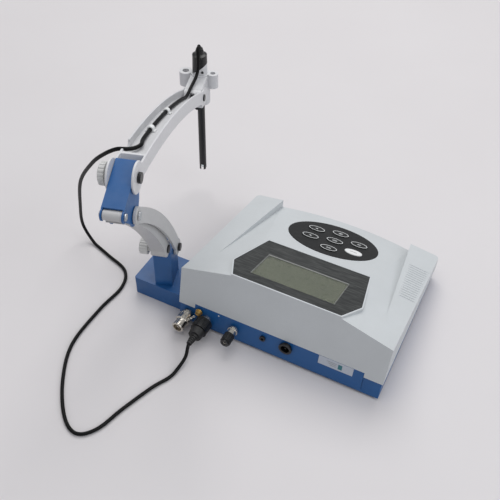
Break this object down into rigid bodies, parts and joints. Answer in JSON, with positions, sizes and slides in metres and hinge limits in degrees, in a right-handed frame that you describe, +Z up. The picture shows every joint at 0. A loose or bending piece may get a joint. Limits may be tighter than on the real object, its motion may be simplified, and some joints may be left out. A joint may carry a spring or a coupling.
{
  "type": "ph meter",
  "caption": "Bench pH meter with sloped display and oval keypad, rear sockets, and a folding swing-arm stand holding a wired glass electrode.",
  "frame": {"origin": "centre of the meter housing's footprint at table level", "axes": "+Z up; -Y towards the user (keypad side), +Y towards the connector panel; +X towards the electrode stand (the user's right)"},
  "size_m": [0.4119, 0.4063, 0.2605],
  "materials": {
    "grey_shell": "fine-textured moulded plastic",
    "blue_shell": "fine-textured moulded plastic",
    "dark_bezel": "smooth screen-printed film",
    "window_clear": "clear display window",
    "lcd": "reflective liquid-crystal panel",
    "white_plastic": "satin white plastic",
    "keypad_black": "matt membrane film",
    "keypad_rubber": "moulded silicone",
    "circuit_board": "solder-masked board",
    "steel": "zinc-plated",
    "nickel": "nickel plate",
    "gold_plate": "gold-flashed brass",
    "black_rubber": "matt black",
    "black_plastic": "semi-gloss black",
    "label_film": "printed film",
    "arm_grey": "moulded grey plastic",
    "arm_light": "moulded light grey plastic",
    "knob_grey": "moulded grey plastic",
    "electrode_glass": "thin pH glass",
    "cable_black": "flexible jacket"
  },
  "bodies": {
    "meter": {"top_housing": "grey_shell", "bottom_housing": "blue_shell", "rear_panel": "blue_shell", "display_bezel": "dark_bezel", "display_window": "window_clear", "lcd_glass": "lcd", "lcd_backlight": "white_plastic", "keypad_overlay": "keypad_black", "keypad_mat": "keypad_rubber", "main_board": "circuit_board", "housing_screws": "steel", "rubber_feet": "black_rubber", "rating_label": "label_film", "bnc_socket": "nickel", "tether_chain": "nickel", "ground_screw": "gold_plate", "electrode_socket": "nickel", "plug_boot": "black_rubber", "post_base": "nickel", "temp_jack": "black_plastic", "dc_socket": "black_plastic", "stand_base": "blue_shell", "base_screws": "steel", "swivel_bolt": "steel", "cable_tail": "cable_black", "cable_drop": "cable_black"},
    "shorting_cap": {"shorting_cap": "nickel"},
    "plug_ring": {"plug_ring": "black_plastic"},
    "post_cap": {"post_cap": "black_plastic"},
    "post": {"post": "blue_shell", "post_pins": "black_plastic"},
    "lower_arm": {"lower_arm": "arm_grey"},
    "lower_link": {"lower_link": "arm_grey"},
    "lower_knob": {"lower_knob": "knob_grey"},
    "elbow": {"elbow_bracket": "blue_shell", "elbow_pins": "steel", "upper_bolt": "black_plastic"},
    "upper_knob": {"upper_knob": "knob_grey"},
    "upper_arm": {"upper_arm": "arm_light", "cable_clips": "white_plastic", "cable_arm": "cable_black", "cable_loop": "cable_black"},
    "upper_link": {"upper_link": "arm_grey"},
    "head": {"electrode_head": "arm_light", "head_pins": "black_plastic"},
    "clamp_screw": {"clamp_screw": "black_plastic"},
    "electrode": {"electrode_cap": "black_plastic", "electrode_collar": "arm_light", "strain_relief": "black_rubber", "electrode_shaft": "black_plastic", "glass_bulb": "electrode_glass"},
    "refill_plug": {"refill_sleeve": "black_plastic"},
    "key_up": {"key_up": "keypad_black"},
    "key_down": {"key_down": "keypad_black"},
    "key_mode": {"key_mode": "keypad_black"},
    "key_cal": {"key_cal": "keypad_black"},
    "key_store": {"key_store": "keypad_black"},
    "key_range": {"key_range": "keypad_black"},
    "key_enter": {"key_enter": "white_plastic"}
  },
  "joints": [
    {"name": "key_up_press", "type": "slide", "parent": "meter", "child": "key_up", "axis": [0, 0.309, -0.9511], "range_m": [0, 0.0008]},
    {"name": "key_down_press", "type": "slide", "parent": "meter", "child": "key_down", "axis": [0, 0.309, -0.9511], "range_m": [0, 0.0008]},
    {"name": "key_mode_press", "type": "slide", "parent": "meter", "child": "key_mode", "axis": [0, 0.309, -0.9511], "range_m": [0, 0.0008]},
    {"name": "key_cal_press", "type": "slide", "parent": "meter", "child": "key_cal", "axis": [0, 0.309, -0.9511], "range_m": [0, 0.0008]},
    {"name": "key_store_press", "type": "slide", "parent": "meter", "child": "key_store", "axis": [0, 0.309, -0.9511], "range_m": [0, 0.0008]},
    {"name": "key_range_press", "type": "slide", "parent": "meter", "child": "key_range", "axis": [0, 0.309, -0.9511], "range_m": [0, 0.0008]},
    {"name": "key_enter_press", "type": "slide", "parent": "meter", "child": "key_enter", "axis": [0, 0.309, -0.9511], "range_m": [0, 0.0008]},
    {"name": "shorting_cap_twist", "type": "hinge", "parent": "meter", "child": "shorting_cap", "pos_m": [0.108, 0.12, 0.013], "axis": [0, 1, 0], "range_deg": [-90, 0]},
    {"name": "plug_ring_twist", "type": "hinge", "parent": "meter", "child": "plug_ring", "pos_m": [0.085, 0.115, 0.014], "axis": [0, 1, 0], "range_deg": [-90, 0]},
    {"name": "post_cap_turn", "type": "hinge", "parent": "meter", "child": "post_cap", "pos_m": [0.05, 0.122, 0.018], "axis": [0, 1, 0], "continuous": true},
    {"name": "stand_swivel", "type": "hinge", "parent": "meter", "child": "post", "pos_m": [0.15, 0.085, 0.03], "axis": [0, 0, 1], "range_deg": [-16, 45], "deforming": ["cable_drop"]},
    {"name": "lower_arm_pivot", "type": "hinge", "parent": "post", "child": "lower_arm", "pos_m": [0.14763, 0.09264, 0.0855], "axis": [0.9553, 0.2957, 0], "range_deg": [-6, 20]},
    {"name": "lower_link_pivot", "type": "hinge", "parent": "post", "child": "lower_link", "pos_m": [0.15429, 0.07115, 0.068], "axis": [0.9553, 0.2957, 0], "range_deg": [-6, 20]},
    {"name": "lower_knob_turn", "type": "hinge", "parent": "post", "child": "lower_knob", "pos_m": [0.16292, 0.09737, 0.0855], "axis": [0.9553, 0.2957, 0], "continuous": true},
    {"name": "elbow_level", "type": "hinge", "parent": "lower_arm", "child": "elbow", "pos_m": [0.11422, 0.20059, 0.2325], "axis": [0.9553, 0.2957, 0], "range_deg": [-20, 6]},
    {"name": "upper_knob_turn", "type": "hinge", "parent": "elbow", "child": "upper_knob", "pos_m": [0.14206, 0.17152, 0.246], "axis": [0.9553, 0.2957, 0], "continuous": true},
    {"name": "upper_arm_pivot", "type": "hinge", "parent": "elbow", "child": "upper_arm", "pos_m": [0.12486, 0.1662, 0.246], "axis": [0.9553, 0.2957, 0], "range_deg": [-20, 3]},
    {"name": "upper_link_pivot", "type": "hinge", "parent": "elbow", "child": "upper_link", "pos_m": [0.12753, 0.1576, 0.235], "axis": [0.9553, 0.2957, 0], "range_deg": [-20, 3]},
    {"name": "head_level", "type": "hinge", "parent": "upper_arm", "child": "head", "pos_m": [0.19879, -0.07262, 0.1665], "axis": [0.9553, 0.2957, 0], "range_deg": [-3, 20], "deforming": ["cable_loop"]},
    {"name": "clamp_screw_turn", "type": "hinge", "parent": "head", "child": "clamp_screw", "pos_m": [0.20589, -0.09555, 0.1405], "axis": [-0.2957, 0.9553, 0], "continuous": true},
    {"name": "electrode_slide", "type": "slide", "parent": "head", "child": "electrode", "axis": [0, 0, 1], "range_m": [0, 0.06]},
    {"name": "refill_plug_pull", "type": "slide", "parent": "electrode", "child": "refill_plug", "axis": [-0.7337, 0.6794, 0], "range_m": [0, 0.003]}
  ],
  "couplings": [
    {"joint": "lower_link_pivot", "follows": "lower_arm_pivot", "ratio": 1},
    {"joint": "elbow_level", "follows": "lower_arm_pivot", "ratio": -1},
    {"joint": "upper_link_pivot", "follows": "upper_arm_pivot", "ratio": 1},
    {"joint": "head_level", "follows": "upper_arm_pivot", "ratio": -1}
  ]
}
